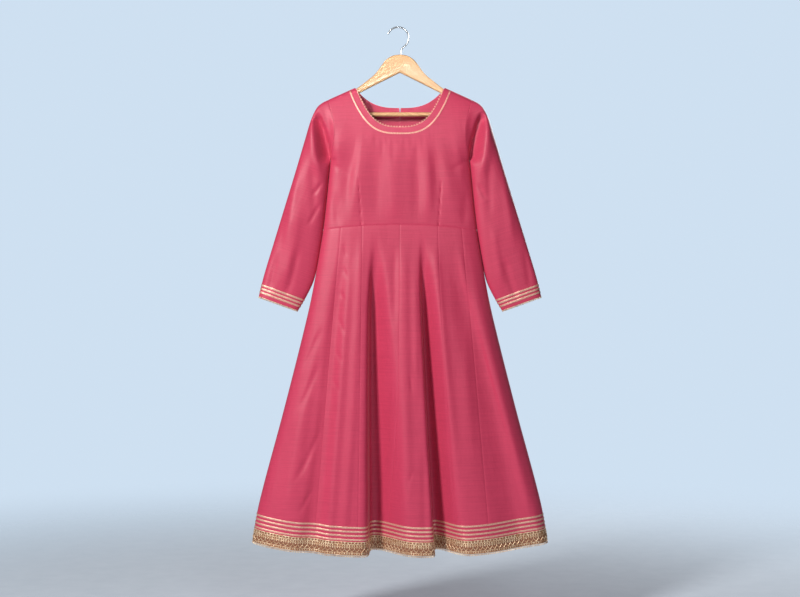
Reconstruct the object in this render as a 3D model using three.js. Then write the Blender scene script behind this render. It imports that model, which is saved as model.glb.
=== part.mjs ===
// Anarkali gown hung on a flat wooden hanger.
// Millimetres, +Z up. The front of the gown faces -Y and its left on the page is -X.
// The origin is the inside top of the hook, where a nail or a rail carries the hanger.
import * as THREE from 'three';
import { mergeVertices } from 'three/addons/utils/BufferGeometryUtils.js';

// Cloth and trimmings
const clothWall = 1.5;
const seamGap = 0.3;
const trimWall = 1;
const trimLift = 0.5;

// Neck, shoulders and waist. Heights are below the hook.
const neckHalf = 116;
const neckTop = -155;
const frontNeckDrop = 106.6;
const backNeckDrop = 50;
const neckPower = 3;
const shoulderSlope = 0.45;
const shoulderHalf = 187;
const underarmHeight = -343;
const waistHeight = -512;
const waistSideDrop = 13;

// How far the cloth stands off the hanger: a tight turn over the arm, then a slow fall
const shoulderTurn = { depth: 9, within: 2.5 };
const frontFall = { depth: 27, within: 75 };
const backFall = { depth: 21, within: 75 };
const sidePower = 3;

// Half of the width across the gown, a row for each level
const widthAtLevel = [
  { z: -187, half: 187 },
  { z: -213, half: 180 },
  { z: -248, half: 171.5 },
  { z: -285, half: 170.5 },
  { z: -343, half: 180 },
  { z: -421, half: 188 },
  { z: -470, half: 193 },
  { z: -525, half: 199.5 },
  { z: -620, half: 215 },
  { z: -738, half: 238 },
  { z: -988, half: 300 },
  { z: -1238, half: 366 },
  { z: -1336, half: 383 },
];

// Skirt, from the waist seam to the cut edge of the cloth
const hemHeight = -1360;
const hemSideRise = 29;
const hemRisePower = 2.7;
const hemSideHeight = -1336;
const waistSideHeight = waistHeight - waistSideDrop;
const frontDepth = { waist: 36, hem: 76, growth: 0.8 };
const backDepth = { waist: 30, hem: 62, growth: 1 };
const hemPowerLoss = 0.5;

// Folds of the skirt: where the middle of the fold is and how far it reaches each side of that,
// at the waist and at the hem, how deep it is at the hem, how far its floor leans to the left, and
// how many times further it reaches to each side at the hem. A negative depth is a ridge.
const frontFolds = [
  { waist: -64, hem: -32, waistReach: 6, hemReach: 36, depth: 80, lean: 34, leftward: 1, rightward: 1.2 },
  { waist: 56, hem: 124, waistReach: 6, hemReach: 24, depth: 78, lean: 31, leftward: 1, rightward: 1.25 },
  { waist: -142, hem: -222, waistReach: 8, hemReach: 22, depth: 17, lean: 4, leftward: 1.6, rightward: 1.3 },
  { waist: -110, hem: -168, waistReach: 7, hemReach: 13, depth: 3, lean: 0, leftward: 1, rightward: 1 },
  { waist: 112, hem: 332, waistReach: 12, hemReach: 30, depth: 19, lean: -4, leftward: 2.6, rightward: 0.9 },
  { waist: 160, hem: 340, waistReach: 12, hemReach: 22, depth: -8, lean: 0, leftward: 1, rightward: 1 },
];
const backFolds = [
  { waist: -96, hem: -208, waistReach: 10, hemReach: 42, depth: 34, lean: 18, leftward: 1, rightward: 1 },
  { waist: 12, hem: -10, waistReach: 8, hemReach: 36, depth: 46, lean: -20, leftward: 1, rightward: 1 },
  { waist: 124, hem: 214, waistReach: 10, hemReach: 38, depth: 30, lean: 16, leftward: 1, rightward: 1 },
];
const foldPower = 2.4;
const foldGrowth = 0.6;
const foldSettle = 0.28;
const foldWidening = 0.6;
const foldHemRise = 0.1;

// Seams between the six kalis of the front and of the back, and the columns that each kali has.
// Bend is the power of the seam's path from waist to hem, 1 for a straight one.
const frontSeams = [
  { waist: -153, hem: -218, bend: 1 },
  { waist: -97, hem: -108, bend: 1 },
  { waist: 0, hem: -9, bend: 1 },
  { waist: 98, hem: 158, bend: 1.5 },
  { waist: 159, hem: 232, bend: 1 },
];
const backSeams = [
  { waist: -155, hem: -250, bend: 1 },
  { waist: -80, hem: -120, bend: 1 },
  { waist: 0, hem: 40, bend: 1 },
  { waist: 80, hem: 150, bend: 1 },
  { waist: 155, hem: 262, bend: 1 },
];
const frontColumns = [5, 4, 10, 10, 5, 5];
const backColumns = [4, 5, 4, 5, 5, 4];
const skirtRows = [0, 0.08, 0.22, 0.4, 0.58, 0.76];
const trimmedHem = 82;

// Rows of the bodice and of the armhole, as shares of the way down from the shoulder
const armholeRows = [0, 0.013, 0.04, 0.2, 0.45, 0.72, 0.92, 1];
const midriffRows = [0.33, 0.68, 1];
const acrossBodice = [0, 0.12, 0.24, 0.36, 0.47, 0.56, 0.602, 0.62, 0.75, 0.88, 0.97, 1];
const armholeClosing = 3;
const backSlit = { half: 3.3, within: 9 };

// Sleeve: outer and inner edge of each section, its half depth, how much it still follows the
// armhole's own curve, and how far its front and back sink in the fold under the shoulder tip
const sleeveSections = [
  { outerX: 187, outerZ: -187, innerX: 180, innerZ: -343, depth: 24, follows: 1, sink: 0 },
  { outerX: 203, outerZ: -195, innerX: 182, innerZ: -351, depth: 24, follows: 0.6, sink: 0.3 },
  { outerX: 216, outerZ: -207, innerX: 183.6, innerZ: -362, depth: 26, follows: 0.2, sink: 0.28 },
  { outerX: 231, outerZ: -238, innerX: 187, innerZ: -387, depth: 27, follows: 0, sink: 0.1 },
  { outerX: 246, outerZ: -287, innerX: 189.6, innerZ: -422, depth: 27, follows: 0, sink: 0 },
  { outerX: 272, outerZ: -375, innerX: 196.6, innerZ: -487, depth: 26, follows: 0, sink: 0 },
  { outerX: 302, outerZ: -473, innerX: 205.6, innerZ: -557, depth: 24, follows: 0, sink: 0 },
  { outerX: 330, outerZ: -565, innerX: 216.8, innerZ: -621, depth: 21, follows: 0, sink: 0 },
  { outerX: 353.5, outerZ: -643, innerX: 235, innerZ: -681, depth: 19, follows: 0, sink: 0 },
  { outerX: 367, outerZ: -697, innerX: 264.5, innerZ: -734, depth: 17, follows: 0, sink: 0 },
];
const sleevePower = 2.4;

// Trimmings: the middle of each woven gold line and the reach of the lace, up from the cut edge
const hemLines = { up: [70, 60, 49.5, 39], width: 4.5 };
const hemLace = { top: 34, below: 5 };
const cuffLines = { up: [30, 20.8, 11.5], width: 5 };
const picotHeight = 4.5;
const neckLine = {
  half: 131, top: -162, drop: 115, power: 3.1, width: 3.8, steps: 24, shoulderReach: 0.9,
};
const neckEdging = 3.5;

// Hanger
const woodThickness = 11;
const woodRounding = 4;
const armBelowCloth = 4.4;
const crownTop = -69;
const bar = { height: -224.5, radius: 5.5, half: 178, sides: 24 };
const hook = {
  wire: 2, radius: 27.7, middleX: -5, middleZ: -25.2, tip: 160, neck: -62, stemX: 3, stemTurn: [-57, -62],
  arcSteps: 12, steps: 40, curveSegments: 5,
};

const cloth = { color: 0xc84b64, roughness: 0.62, metalness: 0 };
const goldThread = { color: 0xe0a078, roughness: 0.45, metalness: 0.4 };
const goldLace = { color: 0xc09a68, roughness: 0.5, metalness: 0.4 };
const wood = { color: 0xe3b07a, roughness: 0.45, metalness: 0 };
const brightWire = { color: 0xd5dade, roughness: 0.2, metalness: 1 };

const front = -1;
const back = 1;
const gown = new THREE.Group();

const mix = (a, b, share) => a + (b - a) * share;
const vector = (x, y, z) => new THREE.Vector3(x, y, z);

function addPiece(name, geometry, look) {
  const mesh = new THREE.Mesh(geometry, new THREE.MeshStandardMaterial(look));
  mesh.name = name;
  gown.add(mesh);
}

// A smooth curve through the rows of a table whose z falls from row to row
function readTable(table, key, z) {
  if (z >= table[0].z) return table[0][key];
  const last = table.length - 1;
  if (z <= table[last].z) return table[last][key];
  const below = table.findIndex((row) => row.z <= z);
  const slopeAt = (i) => {
    const before = table[Math.max(i - 1, 0)];
    const after = table[Math.min(i + 1, last)];
    return (after[key] - before[key]) / (after.z - before.z);
  };
  const a = table[below - 1];
  const b = table[below];
  const span = b.z - a.z;
  const s = (z - a.z) / span;
  const rise = b[key] - a[key];
  const bulge = (slopeAt(below - 1) * span - rise) * (1 - s) - (slopeAt(below) * span - rise) * s;
  return a[key] + rise * s + s * (1 - s) * bulge;
}

const halfWidth = (z) => readTable(widthAtLevel, 'half', z);
const roundedSide = (share, power) => Math.max(0, 1 - Math.abs(share) ** power) ** (1 / power);

// A closed wall between two grids of points, rows by columns. A round one joins its last
// column to its first. Each four-sided patch is split along its more inward diagonal, so that
// what is sewn on top stays clear.
function wallSolid(outer, inner, round = false) {
  const rows = outer.length;
  const columns = outer[0].length;
  const points = [...outer.flat(), ...inner.flat()];
  const at = (side, r, c) => (side * rows + r) * columns + (c % columns);
  const faces = [];
  const quad = (a, b, c, d) => faces.push(a, b, c, a, c, d);
  const quadOtherWay = (a, b, c, d) => faces.push(b, c, d, b, d, a);
  const bottom = rows - 1;
  const right = columns - 1;
  const acrossCount = round ? columns : right;
  for (let c = 0; c < acrossCount; c++) {
    for (let r = 0; r < bottom; r++) {
      const [a, b, e, d] = [[r, c], [r, c + 1], [r + 1, c + 1], [r + 1, c]];
      const outwards = points[at(0, ...a)].clone().sub(points[at(1, ...a)]);
      const bulge = points[at(0, ...a)].clone().add(points[at(0, ...e)])
        .sub(points[at(0, ...b)]).sub(points[at(0, ...d)]).dot(outwards);
      const split = bulge > 0 ? quadOtherWay : quad;
      split(at(0, ...a), at(0, ...b), at(0, ...e), at(0, ...d));
      if (bulge > 0) quad(at(1, ...b), at(1, ...a), at(1, ...d), at(1, ...e));
      else quad(at(1, ...a), at(1, ...d), at(1, ...e), at(1, ...b));
    }
    quad(at(0, 0, c), at(1, 0, c), at(1, 0, c + 1), at(0, 0, c + 1));
    quad(at(0, bottom, c + 1), at(1, bottom, c + 1), at(1, bottom, c), at(0, bottom, c));
  }
  for (let r = 0; r < bottom && !round; r++) {
    quad(at(0, r + 1, 0), at(1, r + 1, 0), at(1, r, 0), at(0, r, 0));
    quad(at(0, r, right), at(1, r, right), at(1, r + 1, right), at(0, r + 1, right));
  }
  return closedGeometry(points, faces);
}

// Turns the faces round where the body they close would be inside out
function closedGeometry(points, faces) {
  let volume = 0;
  for (let i = 0; i < faces.length; i += 3) {
    const [a, b, c] = [points[faces[i]], points[faces[i + 1]], points[faces[i + 2]]];
    volume += a.dot(b.clone().cross(c));
  }
  const geometry = new THREE.BufferGeometry().setFromPoints(points);
  geometry.setIndex(volume < 0 ? faces.slice().reverse() : faces);
  return geometry;
}

// Cloth with its right side at the given points: each has a place p and an outward normal n
const moved = (grid, distance) =>
  grid.map((row) => row.map(({ p, n }) => p.clone().addScaledVector(n, distance)));

const clothSolid = (grid, round) => wallSolid(moved(grid, 0), moved(grid, -clothWall), round);
const trimSolid = (grid, round) =>
  wallSolid(moved(grid, trimLift + trimWall), moved(grid, trimLift), round);

// Leaves half of the seam gap at the first and last column of a panel
function openSides(grid) {
  for (const row of grid) {
    const ends = [[0, 1], [row.length - 1, row.length - 2]];
    const steps = ends.map(([edge, next]) =>
      row[next].p.clone().sub(row[edge].p).setLength(seamGap / 2));
    ends.forEach(([edge], i) => row[edge].p.add(steps[i]));
  }
  return grid;
}

// ---- Bodice ----

const shoulderLine = (x) => neckTop - shoulderSlope * (Math.abs(x) - neckHalf);

function neckEdge(x, side) {
  const drop = side === front ? frontNeckDrop : backNeckDrop;
  return neckTop - drop * (1 - Math.min(1, Math.abs(x) / neckHalf) ** neckPower);
}

const bodiceTop = (x, side) => (Math.abs(x) < neckHalf ? neckEdge(x, side) : shoulderLine(x));

function standOff(x, z, side) {
  const drop = Math.max(0, shoulderLine(x) - z);
  const fall = side === front ? frontFall : backFall;
  const turn = shoulderTurn.depth * (1 - Math.exp(-drop / shoulderTurn.within));
  return turn + fall.depth * (1 - Math.exp(-drop / fall.within));
}

// Share of the depth that the armhole keeps open at a height: all at the shoulder, none underarm
function armholeOpen(z) {
  const down = (z + shoulderHalfHeight) / (underarmHeight + shoulderHalfHeight);
  return Math.sqrt(1 - Math.min(1, Math.max(0, down)) ** armholeClosing);
}
const shoulderHalfHeight = -shoulderLine(shoulderHalf);

// A point of the bodice: share is -1 and 1 at its sides
function bodicePoint(share, z, side) {
  const x = share * halfWidth(z);
  const open = armholeOpen(z);
  const depth = standOff(x, z, side) * (open + (1 - open) * roundedSide(share, sidePower));
  return vector(x, side * Math.max(seamGap / 2, depth), z);
}

function bodiceNormal(share, z, side) {
  const step = 0.004;
  const across = bodicePoint(Math.min(1, share + step), z, side)
    .sub(bodicePoint(Math.max(-1, share - step), z, side));
  const down = bodicePoint(share, z - 1, side).sub(bodicePoint(share, z + 0.5, side));
  return across.cross(down).multiplyScalar(side).normalize();
}

function bodiceGrid(shares, side) {
  const armholeCount = armholeRows.length;
  const underarmShare = (underarmHeight + shoulderHalfHeight) / (waistSideHeight + shoulderHalfHeight);
  const rowShares = armholeRows.map((row) => row * underarmShare)
    .concat(midriffRows.map((row) => mix(underarmShare, 1, row)));
  return rowShares.map((rowShare, r) => shares.map((share) => {
    let top = bodiceTop(share * shoulderHalf, side);
    for (let pass = 0; pass < 6; pass++) top = bodiceTop(share * halfWidth(top), side);
    const bottom = waistHeight - waistSideDrop * share ** 2 + seamGap / 2;
    const z = mix(top, bottom, rowShare);
    const p = bodicePoint(share, z, side);
    const n = bodiceNormal(share, z, side);
    const onShoulder = r === 0 && Math.abs(p.x) >= neckHalf - 1;
    if (onShoulder) n.set(Math.sign(p.x) * shoulderSlope, 0, 1).normalize();
    if (Math.abs(share) === 1 && !onShoulder) {
      if (r < armholeCount - 1) n.set(0, n.y, n.z).normalize();
      else n.set(share, 0, 0);
    }
    return { p, n };
  }));
}

function addBodice() {
  const rightHalf = acrossBodice;
  const leftHalf = rightHalf.map((share) => -share).reverse();
  const frontGrid = bodiceGrid([...leftHalf.slice(0, -1), ...rightHalf], front);
  addPiece('bodice_front', clothSolid(frontGrid), cloth);
  for (const [name, shares, hand] of [['left', leftHalf, -1], ['right', rightHalf, 1]]) {
    const grid = bodiceGrid(shares, back);
    const centre = hand < 0 ? shares.length - 1 : 0;
    const top = grid[0][centre].p.z;
    for (const row of grid) {
      const down = top - row[centre].p.z;
      row[centre].p.x = hand * (seamGap / 2 + backSlit.half * Math.exp(-down / backSlit.within));
    }
    addPiece(`bodice_back_${name}`, clothSolid(grid), cloth);
  }
  addNeckTrims(frontGrid);
}

// ---- Skirt ----

function skirtPoint(share, down, side) {
  const half = halfWidth(mix(waistSideHeight, hemSideHeight, down));
  const depths = side === front ? frontDepth : backDepth;
  const depth = mix(depths.waist, depths.hem, down ** depths.growth);
  const along = share * half;
  const hem = hemHeight + hemSideRise * Math.abs(share) ** hemRisePower;
  const waist = waistHeight - waistSideDrop * share ** 2;
  const point = vector(along, depth * roundedSide(share, sidePower - hemPowerLoss * down),
    mix(waist, hem, down));
  const settled = Math.min(1, down / foldSettle);
  const rise = down ** foldGrowth * settled ** 2 * (3 - 2 * settled);
  for (const fold of side === front ? frontFolds : backFolds) {
    const reach = mix(fold.waistReach, fold.hemReach, down ** foldWidening);
    const aside = (along - mix(fold.waist, fold.hem, down)) / reach;
    const offset = aside / mix(1, aside > 0 ? fold.rightward : fold.leftward, down);
    const pull = rise * Math.exp(-(Math.abs(offset) ** foldPower));
    point.y -= fold.depth * pull;
    point.x -= fold.lean * pull;
    point.z += foldHemRise * Math.max(0, fold.depth) * pull * down;
  }
  point.y *= side;
  return point;
}

// Columns evenly spaced along the cloth between two places across the skirt
function skirtColumns(fromShare, toShare, count, down, side) {
  const fine = 120;
  const shareAt = (i) => Math.sin(mix(Math.asin(fromShare), Math.asin(toShare), i / fine));
  const lengths = [0];
  let before = skirtPoint(shareAt(0), down, side);
  for (let i = 1; i <= fine; i++) {
    const here = skirtPoint(shareAt(i), down, side);
    lengths.push(lengths[i - 1] + here.distanceTo(before));
    before = here;
  }
  return Array.from({ length: count + 1 }, (_, c) => {
    const wanted = lengths[fine] * c / count;
    let i = lengths.findIndex((length) => length >= wanted - 1e-9);
    i = Math.max(1, i);
    const part = (wanted - lengths[i - 1]) / (lengths[i] - lengths[i - 1]);
    const share = c === 0 ? fromShare : c === count ? toShare : shareAt(i - 1 + part);
    return { p: skirtPoint(share, down, side), n: vector(0, side, 0) };
  });
}

// The kalis of one side at one level, each a row of columns, from left to right
function kaliRows(down, side) {
  const half = halfWidth(mix(waistSideHeight, hemSideHeight, down));
  const seams = side === front ? frontSeams : backSeams;
  const counts = side === front ? frontColumns : backColumns;
  const shares = seams.map((seam) => mix(seam.waist, seam.hem, down ** seam.bend) / half);
  const edges = [-1, ...shares, 1];
  const kalis = counts.map((count, i) => skirtColumns(edges[i], edges[i + 1], count, down, side));
  kalis.forEach((kali, i) => kali.forEach((column, c) => {
    const before = kali[c - 1] ?? kalis[i - 1]?.at(-2);
    const after = kali[c + 1] ?? kalis[i + 1]?.[1];
    if (before && after) column.n.copy(levelNormal(before.p, column.p, after.p, side));
    else column.n.set(before ? 1 : -1, 0, 0);
  }));
  return kalis;
}

// Halfway between the outward directions of the two stretches that meet at a point
function levelNormal(before, here, after, side) {
  const outward = (from, to) =>
    vector(-side * (to.y - from.y), side * (to.x - from.x), 0).normalize();
  return outward(before, here).add(outward(here, after)).normalize();
}

function addSkirt() {
  const length = waistSideHeight - hemSideHeight;
  const downs = [...skirtRows, 1 - trimmedHem / length, 1];
  for (const [name, side] of [['front', front], ['back', back]]) {
    const levels = downs.map((down) => kaliRows(down, side));
    for (let kali = 0; kali < levels[0].length; kali++) {
      const grid = levels.map((level) => level[kali]);
      for (const column of grid[0]) column.p.z -= seamGap / 2;
      addPiece(`skirt_${name}_${kali + 1}`, clothSolid(openSides(grid)), cloth);
    }
  }
  addHemTrims(1 - trimmedHem / length);
}

// ---- Sleeves ----

const armholeHeight = (row) => mix(-shoulderHalfHeight, underarmHeight, row);

// One section of a sleeve, from its outer edge down the front to its inner edge and up the back
function sleeveRing(section, hand) {
  const halves = [front, back].map((side) => armholeRows.map((row) => {
    const armhole = bodicePoint(1, armholeHeight(row), side);
    const round = section.depth * roundedSide(2 * row - 1, sleevePower);
    const depth = mix(round, Math.abs(armhole.y), section.follows) *
      (1 - section.sink * Math.sin(Math.PI * row));
    const straight = mix(section.outerX, section.innerX, row);
    const armholeBow = armhole.x - mix(shoulderHalf, halfWidth(underarmHeight), row);
    const isEdge = row === 0 || row === 1;
    return vector(hand * (straight + armholeBow * section.follows),
      isEdge ? 0 : side * depth, mix(section.outerZ, section.innerZ, row));
  }));
  const points = [...halves[0], ...halves[1].slice(1, -1).reverse()];
  const middle = points.reduce((sum, p) => sum.add(p), vector(0, 0, 0)).divideScalar(points.length);
  const chord = halves[0].at(-1).clone().sub(halves[0][0]).normalize();
  const axis = chord.cross(vector(0, 1, 0));
  return points.map((p, i) => {
    const next = points[(i + 1) % points.length];
    const previous = points[(i + points.length - 1) % points.length];
    const n = next.clone().sub(previous).cross(axis).normalize();
    if (n.dot(p.clone().sub(middle)) < 0) n.negate();
    return { p, n };
  });
}

function addSleeve(name, hand) {
  const rings = sleeveSections.map((section) => sleeveRing(section, hand));
  for (const { p } of rings[0]) p.x += hand * seamGap;
  addPiece(`sleeve_${name}`, clothSolid(rings, true), cloth);
  const [above, cuff] = rings.slice(-2);
  cuffLines.up.forEach((up, i) => {
    const edges = [up + cuffLines.width / 2, up - cuffLines.width / 2];
    const band = edges.map((edge) => upFromEdge(above, cuff, edge));
    addPiece(`cuff_${name}_line_${i + 1}`, trimSolid(band, true), goldThread);
  });
  const picots = [-seamGap, -picotHeight].map((edge) => upFromEdge(above, cuff, edge));
  addPiece(`cuff_${name}_edging`, clothSolid(picots, true), goldLace);
}

// ---- Trimmings ----

// The points of a panel at a height above its cut edge, between its last two rows
function upFromEdge(above, edge, up) {
  return edge.map(({ p, n }, i) => {
    const share = up / p.distanceTo(above[i].p);
    const normal = n.clone().lerp(above[i].n, share).normalize();
    return { p: p.clone().lerp(above[i].p, share), n: normal };
  });
}

function addHemTrims(aboveDown) {
  const ringAt = (down) => [
    ...kaliRows(down, front).flatMap((kali) => kali.slice(0, -1)),
    ...kaliRows(down, back).reverse().flatMap((kali) => kali.slice(1).reverse()),
  ];
  const above = ringAt(aboveDown);
  const hem = ringAt(1);
  hemLines.up.forEach((up, i) => {
    const edges = [up + hemLines.width / 2, up - hemLines.width / 2];
    const band = edges.map((edge) => upFromEdge(above, hem, edge));
    addPiece(`hem_line_${i + 1}`, trimSolid(band, true), goldThread);
  });
  const lace = [hemLace.top, -hemLace.below].map((edge) => upFromEdge(above, hem, edge));
  addPiece('hem_lace', trimSolid(lace, true), goldLace);
}

// A band along a row of points, between two distances across it
function alongEdge(row, distances) {
  return distances.map((distance) => row.map(({ p, n }, i) => {
    const next = row[Math.min(i + 1, row.length - 1)].p;
    const previous = row[Math.max(i - 1, 0)].p;
    const across = next.clone().sub(previous).normalize().cross(n).normalize();
    if (across.z < 0) across.negate();
    return { p: p.clone().addScaledVector(across, distance), n };
  }));
}

function addNeckTrims(frontGrid) {
  const neckRow = frontGrid[0].filter(({ p }) => Math.abs(p.x) < neckHalf - 1);
  const edging = alongEdge(neckRow, [seamGap, seamGap + neckEdging]);
  addPiece('neck_edging', clothSolid(edging), goldLace);
  const { half, top, drop, power, width, steps, shoulderReach } = neckLine;
  const lineRow = Array.from({ length: steps + 1 }, (_, i) => {
    const x = half * Math.sin((i / steps - 0.5) * Math.PI * shoulderReach);
    const z = top - drop * (1 - Math.abs(x / half) ** power);
    const share = x / halfWidth(z);
    return { p: bodicePoint(share, z, front), n: bodiceNormal(share, z, front) };
  });
  addPiece('neck_line', trimSolid(alongEdge(lineRow, [-width / 2, width / 2])), goldThread);
}

// ---- Hanger ----

function addHangerBody() {
  const clothLine = (x) => shoulderLine(x) - armBelowCloth;
  const topEdge = [[0, crownTop], [22, -73], [40, -86.5], [62.5, -117], [87, -138],
    [neckHalf, clothLine(neckHalf)]];
  const lobe = [[194, clothLine(194)], [204, -204], [207, -214], [205, -228], [198, -232],
    [190, -232], [182, -227]];
  const underside = [[178, -210], [107, -173], [0, -116]];
  const right = [...topEdge, ...lobe, ...underside];
  const left = right.slice(1, -1).reverse().map(([x, z]) => [-x, z]);
  const outline = new THREE.Shape([...right, ...left].map(([x, z]) => new THREE.Vector2(x, z)));
  const body = new THREE.ExtrudeGeometry(outline, {
    depth: woodThickness - 2 * woodRounding,
    bevelThickness: woodRounding,
    bevelSize: woodRounding,
    bevelOffset: -woodRounding,
    bevelSegments: 3,
  });
  body.rotateX(Math.PI / 2);
  body.translate(0, woodThickness / 2 - woodRounding, 0);
  addPiece('hanger_body', body, wood);
}

function addHangerBar() {
  const rod = new THREE.CylinderGeometry(bar.radius, bar.radius, 2 * bar.half, bar.sides);
  rod.rotateZ(Math.PI / 2);
  rod.translate(0, 0, bar.height);
  addPiece('hanger_bar', rod, wood);
}

function addHook() {
  const { wire, radius, middleX, middleZ, tip, neck, stemX, stemTurn, arcSteps } = hook;
  const points = [];
  for (let i = 0; i <= arcSteps; i++) {
    const angle = THREE.MathUtils.degToRad(mix(tip, neck, i / arcSteps));
    points.push(vector(middleX + radius * Math.cos(angle), 0, middleZ + radius * Math.sin(angle)));
  }
  for (const z of [...stemTurn, crownTop + seamGap]) points.push(vector(stemX, 0, z));
  const section = new THREE.Shape();
  section.absarc(0, 0, wire, 0, 2 * Math.PI);
  const path = new THREE.CatmullRomCurve3(points);
  const rod = new THREE.ExtrudeGeometry(section, {
    extrudePath: path, steps: hook.steps, curveSegments: hook.curveSegments,
  });
  addPiece('hanger_hook', rod, brightWire);
}

addBodice();
addSkirt();
addSleeve('left', -1);
addSleeve('right', 1);
addHangerBody();
addHangerBar();
addHook();

gown.traverse((piece) => {
  if (!piece.isMesh) return;
  piece.geometry.deleteAttribute('normal');
  piece.geometry.deleteAttribute('uv');
  piece.geometry = mergeVertices(piece.geometry, 1e-3);
});

export default gown;
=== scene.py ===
# Anarkali gown of rose silk, hung on a flat wooden hanger.
# Sizes are in millimetres and become metres as each mesh is made. The front faces -Y.
import math
import bmesh
import bpy
import numpy as np
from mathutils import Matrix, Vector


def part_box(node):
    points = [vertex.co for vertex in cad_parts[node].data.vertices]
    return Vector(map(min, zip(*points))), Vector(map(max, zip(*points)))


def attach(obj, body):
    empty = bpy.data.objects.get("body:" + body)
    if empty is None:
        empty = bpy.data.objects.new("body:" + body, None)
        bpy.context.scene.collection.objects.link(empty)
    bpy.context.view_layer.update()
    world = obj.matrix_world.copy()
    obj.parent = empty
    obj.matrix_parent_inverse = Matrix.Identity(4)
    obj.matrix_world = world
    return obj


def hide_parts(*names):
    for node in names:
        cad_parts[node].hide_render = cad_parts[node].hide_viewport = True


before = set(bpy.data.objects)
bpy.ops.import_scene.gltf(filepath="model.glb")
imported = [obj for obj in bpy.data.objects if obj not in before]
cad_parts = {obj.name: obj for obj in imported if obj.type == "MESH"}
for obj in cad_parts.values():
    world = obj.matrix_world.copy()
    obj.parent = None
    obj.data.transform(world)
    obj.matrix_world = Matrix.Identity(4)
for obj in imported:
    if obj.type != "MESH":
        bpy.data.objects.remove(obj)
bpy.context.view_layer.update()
view = bpy.context.scene.view_settings
view.view_transform = "Standard"
view.look = "None"

camera = {"lens": 70, "distance": 4.044, "height": -0.703}
camData = bpy.data.cameras.new("viewCamera")
camData.lens = camera["lens"]
camData.sensor_width = 36
cam = bpy.data.objects.new("viewCamera", camData)
cam.location = (0, -camera["distance"], camera["height"])
cam.rotation_euler = (math.pi / 2, 0, 0)
bpy.context.scene.collection.objects.link(cam)
bpy.context.scene.camera = cam
print("camera set")


def startMaterial(name, roughness, metallic=0.0, specular=0.5):
    material = bpy.data.materials.new(name)
    material.use_nodes = True
    tree = material.node_tree
    shader = tree.nodes["Principled BSDF"]
    shader.inputs["Roughness"].default_value = roughness
    shader.inputs["Metallic"].default_value = metallic
    shader.inputs["Specular IOR Level"].default_value = specular
    return material, tree, shader


def stretchedNoise(tree, source, scale, detail=2.0, roughness=0.5, offset=(0, 0, 0)):
    mapping = tree.nodes.new("ShaderNodeMapping")
    mapping.inputs["Scale"].default_value = scale
    mapping.inputs["Location"].default_value = offset
    noise = tree.nodes.new("ShaderNodeTexNoise")
    noise.inputs["Scale"].default_value = 1
    noise.inputs["Detail"].default_value = detail
    noise.inputs["Roughness"].default_value = roughness
    tree.links.new(source, mapping.inputs["Vector"])
    tree.links.new(mapping.outputs["Vector"], noise.inputs["Vector"])
    return noise.outputs["Fac"]


def ramp(tree, source, low, high, lowAt=0.0, highAt=1.0):
    node = tree.nodes.new("ShaderNodeValToRGB")
    node.color_ramp.elements[0].position = lowAt
    node.color_ramp.elements[0].color = (*low, 1)
    node.color_ramp.elements[1].position = highAt
    node.color_ramp.elements[1].color = (*high, 1)
    tree.links.new(source, node.inputs["Fac"])
    return node.outputs["Color"]


def weighted(tree, parts):
    total = None
    for source, weight in parts:
        node = tree.nodes.new("ShaderNodeMath")
        node.operation = "MULTIPLY_ADD"
        node.inputs[1].default_value = weight
        tree.links.new(source, node.inputs[0])
        if total is not None:
            tree.links.new(total, node.inputs[2])
        else:
            node.inputs[2].default_value = 0
        total = node.outputs[0]
    return total


def addBump(tree, shader, height, strength, distance):
    bump = tree.nodes.new("ShaderNodeBump")
    bump.inputs["Strength"].default_value = strength
    bump.inputs["Distance"].default_value = distance
    tree.links.new(height, bump.inputs["Height"])
    tree.links.new(bump.outputs["Normal"], shader.inputs["Normal"])


def clothMap(tree):
    node = tree.nodes.new("ShaderNodeUVMap")
    node.uv_map = "weave"
    return node.outputs["UV"]


silk = {
    "light": (0.63, 0.052, 0.120), "deep": (0.50, 0.034, 0.088), "roughness": 0.48,
    "sheen": 0.22, "sheenRoughness": 0.4, "sheenTint": (1.0, 0.70, 0.76),
    "rumple": 13.0, "bump": 0.22, "bumpDepth": 0.0005,
}


def makeSilk():
    material, tree, shader = startMaterial("roseSilk", silk["roughness"], specular=0.4)
    shader.inputs["Sheen Weight"].default_value = silk["sheen"]
    shader.inputs["Sheen Roughness"].default_value = silk["sheenRoughness"]
    shader.inputs["Sheen Tint"].default_value = (*silk["sheenTint"], 1)
    uv = clothMap(tree)
    slubs = stretchedNoise(tree, uv, (9, 420, 1), 3, 0.6)
    fineSlubs = stretchedNoise(tree, uv, (45, 1500, 1), 2, 0.55)
    warp = stretchedNoise(tree, uv, (2200, 30, 1), 1, 0.5)
    cloudy = stretchedNoise(tree, uv, (14, 9, 1), 2, 0.5)
    rumples = stretchedNoise(tree, uv, (30, 7, 1), 3, 0.5)
    tone = weighted(tree, ((slubs, 0.75), (fineSlubs, 0.45), (warp, 0.2), (cloudy, 0.3)))
    colour = ramp(tree, tone, silk["deep"], silk["light"], 0.5, 1.2)
    tree.links.new(colour, shader.inputs["Base Color"])
    height = weighted(tree, ((slubs, 1.0), (fineSlubs, 0.6), (warp, 0.35), (rumples, silk["rumple"])))
    addBump(tree, shader, height, silk["bump"], silk["bumpDepth"])
    return material


goldThread = {"light": (0.95, 0.60, 0.45), "deep": (0.55, 0.16, 0.13), "twist": 1400}


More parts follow.
